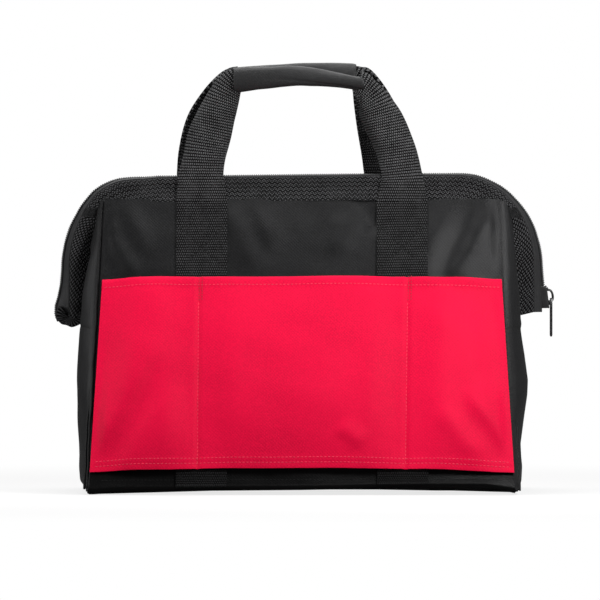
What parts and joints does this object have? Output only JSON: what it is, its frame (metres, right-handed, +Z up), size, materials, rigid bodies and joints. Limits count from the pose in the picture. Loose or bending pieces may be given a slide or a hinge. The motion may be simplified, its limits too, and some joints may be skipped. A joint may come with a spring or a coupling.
{
  "type": "zippered tool bag",
  "caption": "Wide-mouth fabric tool bag with a red outside pocket panel, two strap handles and a zip that runs down over both ends.",
  "frame": {"origin": "middle of the base's underside", "axes": "+X along the bag's length, -Y towards the front with the zip slider at the viewer's right, +Z up"},
  "size_m": [0.369, 0.205, 0.319],
  "materials": {
    "black_cloth": "coated polyester, fine plain weave",
    "red_cloth": "coated polyester, fine twill weave",
    "webbing": "ribbed polypropylene webbing",
    "grip_cloth": "coated polyester over foam",
    "zip_tape": "smooth woven tape",
    "zip_coil": "satin nylon coil",
    "black_metal": "black baked paint",
    "steel": "bright drawn wire",
    "plastic": "moulded",
    "board": "stiff sheet, lightly grained"
  },
  "bodies": {
    "base": {"base_panel": "black_cloth", "base_board": "board", "end_panel_left": "black_cloth", "end_panel_right": "black_cloth"},
    "front_wall": {"front_wall_panel": "black_cloth", "front_pocket_panel": "red_cloth", "front_strap_left": "webbing", "front_strap_right": "webbing", "front_side_welt_left": "black_cloth", "front_side_welt_right": "black_cloth"},
    "rear_wall": {"rear_wall_panel": "black_cloth", "rear_pocket_panel": "red_cloth", "rear_strap_left": "webbing", "rear_strap_right": "webbing", "rear_side_welt_left": "black_cloth", "rear_side_welt_right": "black_cloth"},
    "front_mouth_frame": {"front_mouth_binding": "webbing", "front_frame_wire": "steel", "front_wire_cap_left": "plastic", "front_wire_cap_right": "plastic", "front_zip_tape": "zip_tape", "front_zip_teeth": "zip_coil", "front_end_fold_left": "black_cloth", "front_end_fold_right": "black_cloth"},
    "rear_mouth_frame": {"rear_mouth_binding": "webbing", "rear_frame_wire": "steel", "rear_wire_cap_left": "plastic", "rear_wire_cap_right": "plastic", "rear_zip_tape": "zip_tape", "rear_zip_teeth": "zip_coil", "rear_end_fold_left": "black_cloth", "rear_end_fold_right": "black_cloth"},
    "front_handle": {"front_handle_strap": "webbing", "front_handle_grip": "grip_cloth"},
    "rear_handle": {"rear_handle_strap": "webbing", "rear_handle_grip": "grip_cloth"},
    "zip_slider": {"zip_slider": "black_metal"},
    "zip_pull": {"zip_pull_tab": "black_metal"}
  },
  "joints": [
    {"name": "front_wall_open", "type": "hinge", "parent": "base", "child": "front_wall", "pos_m": [0, -0.1, 0.0055], "axis": [1, 0, 0], "range_deg": [0, 22]},
    {"name": "rear_wall_open", "type": "hinge", "parent": "base", "child": "rear_wall", "pos_m": [0, 0.1, 0.0055], "axis": [-1, 0, 0], "range_deg": [0, 22]},
    {"name": "front_frame_fold", "type": "hinge", "parent": "front_wall", "child": "front_mouth_frame", "pos_m": [0, -0.015, 0.219], "axis": [1, 0, 0], "range_deg": [0, 46.2], "deforming": ["front_end_fold_left", "front_end_fold_right"]},
    {"name": "rear_frame_fold", "type": "hinge", "parent": "rear_wall", "child": "rear_mouth_frame", "pos_m": [0, 0.015, 0.219], "axis": [-1, 0, 0], "range_deg": [0, 46.2], "deforming": ["rear_end_fold_left", "rear_end_fold_right"]},
    {"name": "front_handle_swing", "type": "hinge", "parent": "front_mouth_frame", "child": "front_handle", "pos_m": [0, -0.0185, 0.219], "axis": [1, 0, 0], "range_deg": [0, 100]},
    {"name": "rear_handle_swing", "type": "hinge", "parent": "rear_mouth_frame", "child": "rear_handle", "pos_m": [0, 0.0185, 0.219], "axis": [-1, 0, 0], "range_deg": [0, 100]},
    {"name": "zip_slider_travel", "type": "slide", "parent": "front_mouth_frame", "child": "zip_slider", "axis": [0, 0, 1], "range_m": [0, 0.02], "deforming": ["front_zip_tape", "front_zip_teeth", "rear_zip_tape", "rear_zip_teeth"]},
    {"name": "zip_pull_swing", "type": "hinge", "parent": "zip_slider", "child": "zip_pull", "pos_m": [0.18485, 0, 0.14405], "axis": [0, -1, 0], "range_deg": [0, 150]}
  ],
  "couplings": [
    {"joint": "rear_wall_open", "follows": "front_wall_open", "ratio": 1},
    {"joint": "front_frame_fold", "follows": "front_wall_open", "ratio": 2.1},
    {"joint": "rear_frame_fold", "follows": "front_wall_open", "ratio": 2.1}
  ]
}
